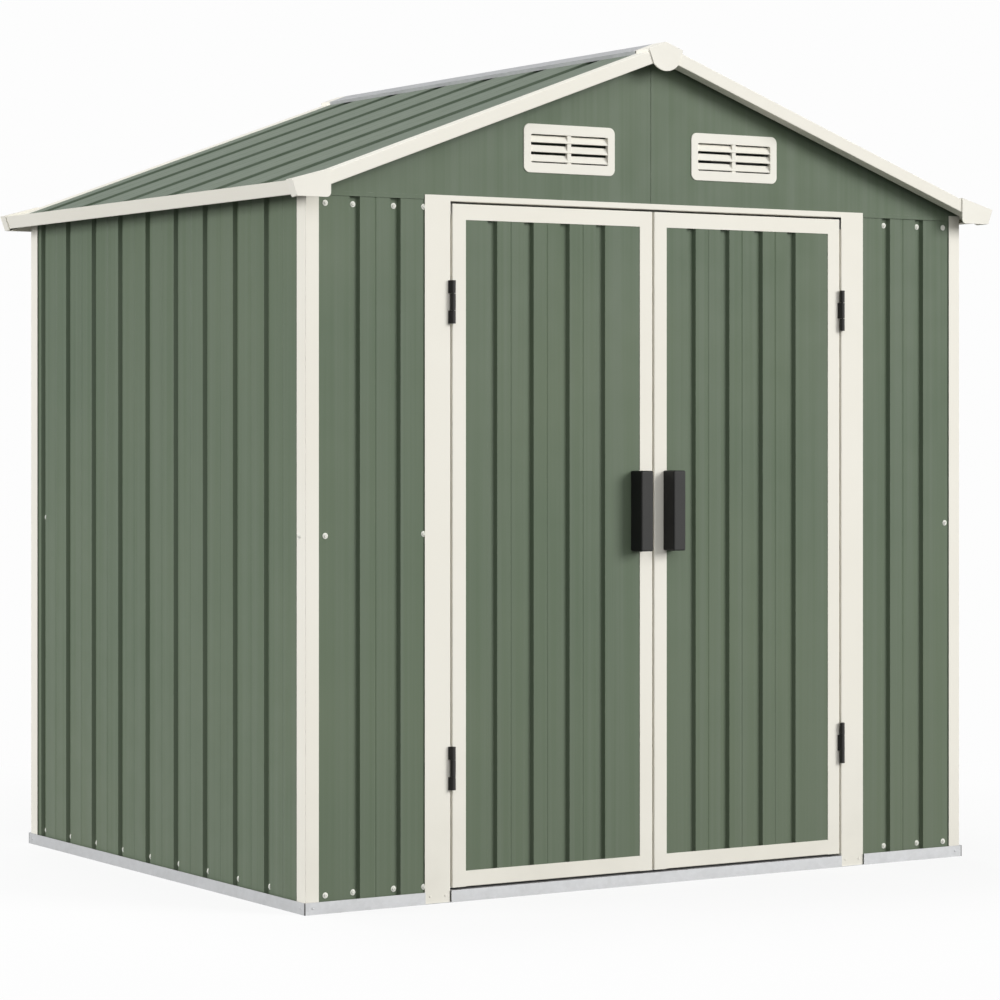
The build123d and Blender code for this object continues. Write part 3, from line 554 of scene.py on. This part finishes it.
# Faces that the fasteners sit on, from the walls and posts of the frame
FORWARD = (0, -1, 0)
BACKWARD = (0, 1, 0)
low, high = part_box("wall_front_left")
front_face = low.y
front_groove = front_face + RIB_DEPTH
screw_top = high.z - SCREW_TOP_DROP
side_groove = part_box("wall_right")[1].x - RIB_DEPTH
rear_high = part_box("wall_rear")[1]
rear_groove = rear_high.y - RIB_DEPTH
post_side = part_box("corner_posts_front")[1].x
post_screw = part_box("door_post_right")[1].x + POST_SCREW_OFFSET

# Wall screws, front: beside the posts and in the grooves at the top and bottom, and at mid height
front_screws = []
for level in (screw_top, SCREW_BOTTOM):
    for side in (-1, 1):
        front_screws.append((side * (half_width - FLAT_SCREW_INSET), front_face, level))
        for groove in FRONT_GROOVES:
            front_screws.append((side * groove, front_groove, level))
    front_screws.append((-post_screw, front_face, level))
for across in (FLAT_SCREW_INSET - half_width, half_width - RIGHT_MIDDLE_INSET, -post_screw):
    front_screws.append((across, front_face, SCREW_MIDDLE))
wall_screws("wall_screws_front", [(point, FORWARD) for point in front_screws])

# Wall screws, sides: low down in all grooves but the first, and two at mid height
side_rows = evenly(
    SIDE_GROOVE_FROM_FRONT - half_depth + SIDE_SCREW_OFFSET,
    half_depth - SIDE_GROOVE_FROM_REAR + SIDE_SCREW_OFFSET,
    SIDE_GROOVE_COUNT,
)
for side, name in ((-1, "wall_screws_left"), (1, "wall_screws_right")):
    places = [(side * side_groove, row, SCREW_BOTTOM) for row in side_rows[1:]]
    places.append((side * post_side, CORNER_SCREW_INSET - half_depth, SCREW_MIDDLE))
    places.append((side * side_groove, side_rows[-1], SCREW_MIDDLE + SIDE_MIDDLE_RISE))
    wall_screws(name, [(point, (side, 0, 0)) for point in places])

# Wall screws, rear: at the top and bottom of all grooves, and at mid height in four of them
rear_outer = rear_high.x - REAR_GROOVE_FROM_END
rear_rows = evenly(-rear_outer, rear_outer, REAR_GROOVE_COUNT)
rear_screws = [(row, rear_groove, level) for row in rear_rows for level in (screw_top, SCREW_BOTTOM)]
rear_screws += [(rear_rows[number], rear_groove, SCREW_MIDDLE) for number in REAR_MIDDLE_GROOVES]
wall_screws("wall_screws_rear", [(point, BACKWARD) for point in rear_screws])

# Rivets at the corners of the base rail
rail_rivets = []
for side in (-1, 1):
    for end in (-1, 1):
        across = side * (half_width - RIVET_FROM_CORNER)
        along = end * (half_depth - RIVET_FROM_CORNER)
        rail_rivets.append(((across, end * half_depth, RIVET_HEIGHT_ON_RAIL), (0, end, 0)))
        rail_rivets.append(((side * half_width, along, RIVET_HEIGHT_ON_RAIL), (side, 0, 0)))
scattered("rail_rivets", rivet(), rail_rivets, "shed", FINISHES["zinc_steel"])

# Rivets at the feet of the door posts
post_rivets = []
for node in ("door_post_left", "door_post_right"):
    low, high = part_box(node)
    for across in (low.x + FOOT_RIVET_INSET, high.x - FOOT_RIVET_INSET):
        post_rivets.append(((across, low.y, FOOT_RIVET_HEIGHT), FORWARD))
scattered("door_post_rivets", rivet(), post_rivets, "shed", FINISHES["cream_trim"])

# Handle screws on the inside of the leaves
for body in ("left_door", "right_door"):
    low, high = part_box(body + "_handle")
    middle = (low + high) / 2
    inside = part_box(body + "_rails")[1].y
    places = [
        ((middle.x, inside, middle.z + shift), BACKWARD)
        for shift in (-HANDLE_SCREW_SHIFT, HANDLE_SCREW_SHIFT)
    ]
    scattered(body + "_handle_screws", rivet(), places, body, SCREW_FINISH)


def floor_material():
    """A pale floor that keeps a soft shadow and fades to plain white away from the object."""
    shader = Shader("floor_pale")
    seen = either_ray(shader.tree, "Is Camera Ray", "Is Glossy Ray")
    distance = shader.nodes.new("ShaderNodeVectorMath")
    distance.operation = "LENGTH"
    shader.links.new(shader.place, distance.inputs[0])
    fade = shader.spread(
        distance.outputs["Value"], FLOOR_FADE_START, FLOOR_FADE_END, FLOOR_FADE_SHARE, 1.0,
    )
    glow = shader.nodes.new("ShaderNodeEmission")
    glow.inputs["Color"].default_value = linear(BACKGROUND)
    surface = shader_mix(
        shader.tree, shader.multiply(seen, fade), shader.principled.outputs["BSDF"],
        glow.outputs["Emission"],
    )
    shader.links.new(surface, shader.nodes["Material Output"].inputs["Surface"])
    tone = shader.blend(seen, linear(FLOOR_BOUNCE), linear(BACKGROUND))
    shader.links.new(tone, shader.principled.inputs["Base Color"])
    shader.principled.inputs["Roughness"].default_value = 0.9
    shader.principled.inputs["Specular IOR Level"].default_value = 0.1
    return shader.material


def make_floor():
    """The floor, a wide plane under the object that isn't a part of it."""
    corners = [(x * FLOOR_REACH, y * FLOOR_REACH, 0) for x, y in ((-1, -1), (1, -1), (1, 1), (-1, 1))]
    mesh = bpy.data.meshes.new("floor")
    mesh.from_pydata(corners, [], [(0, 1, 2, 3)])
    mesh.materials.append(floor_material())
    floor = bpy.data.objects.new("floor", mesh)
    bpy.context.scene.collection.objects.link(floor)
    return floor


def make_world():
    """Even light all round, and plain white where the camera sees it."""
    world = bpy.data.worlds.new("studio")
    world.use_nodes = True
    tree = world.node_tree
    ambient = tree.nodes["Background"]
    ambient.inputs["Color"].default_value = AMBIENT_COLOUR
    ambient.inputs["Strength"].default_value = AMBIENT_LEVEL
    white = tree.nodes.new("ShaderNodeBackground")
    white.inputs["Color"].default_value = linear(BACKGROUND)
    white.inputs["Strength"].default_value = 1.0
    seen = either_ray(tree, "Is Camera Ray", "Is Transmission Ray")
    surface = shader_mix(tree, seen, ambient.outputs["Background"], white.outputs["Background"])
    tree.links.new(surface, tree.nodes["World Output"].inputs["Surface"])
    return world


def soft_lamp(name, direction, distance, size, level, colour=(1, 1, 1)):
    """A soft lamp far off in a direction; level 1 lights a surface that faces it as written."""
    lamp = bpy.data.lights.new(name, "AREA")
    lamp.shape = "RECTANGLE"
    lamp.size = size
    lamp.size_y = size
    lamp.energy = level * (math.pi * distance) ** 2
    lamp.color = colour
    towards = Vector(direction).normalized()
    holder = bpy.data.objects.new(name, lamp)
    holder.location = Vector(LAMP_AIM) + towards * distance
    holder.rotation_euler = (-towards).to_track_quat("-Z", "Y").to_euler()
    bpy.context.scene.collection.objects.link(holder)


def make_camera():
    """The photograph's level camera."""
    data = bpy.data.cameras.new("camera")
    data.sensor_width = CAMERA_SENSOR
    data.lens = CAMERA_LENS
    data.shift_y = CAMERA_SHIFT
    data.clip_end = CAMERA_REACH
    camera = bpy.data.objects.new("camera", data)
    camera.location = CAMERA_PLACE
    camera.rotation_euler = (math.pi / 2, 0.0, CAMERA_TURN)
    bpy.context.scene.collection.objects.link(camera)
    return camera


make_floor()
bpy.context.scene.world = make_world()
soft_lamp("key", (0.60, -0.735, 0.31), distance=42.0, size=18.0, level=0.74, colour=KEY_COLOUR)
soft_lamp("front_soft", (-0.15, -0.88, 0.40), distance=36.0, size=30.0, level=0.30)
soft_lamp("fill_left", (-0.93, 0.25, 0.28), distance=36.0, size=18.0, level=0.77)
soft_lamp("top_back", (0.0, 0.35, 0.94), distance=33.0, size=12.0, level=0.30)
bpy.context.scene.camera = make_camera()
bpy.context.scene.view_settings.view_transform = "Standard"
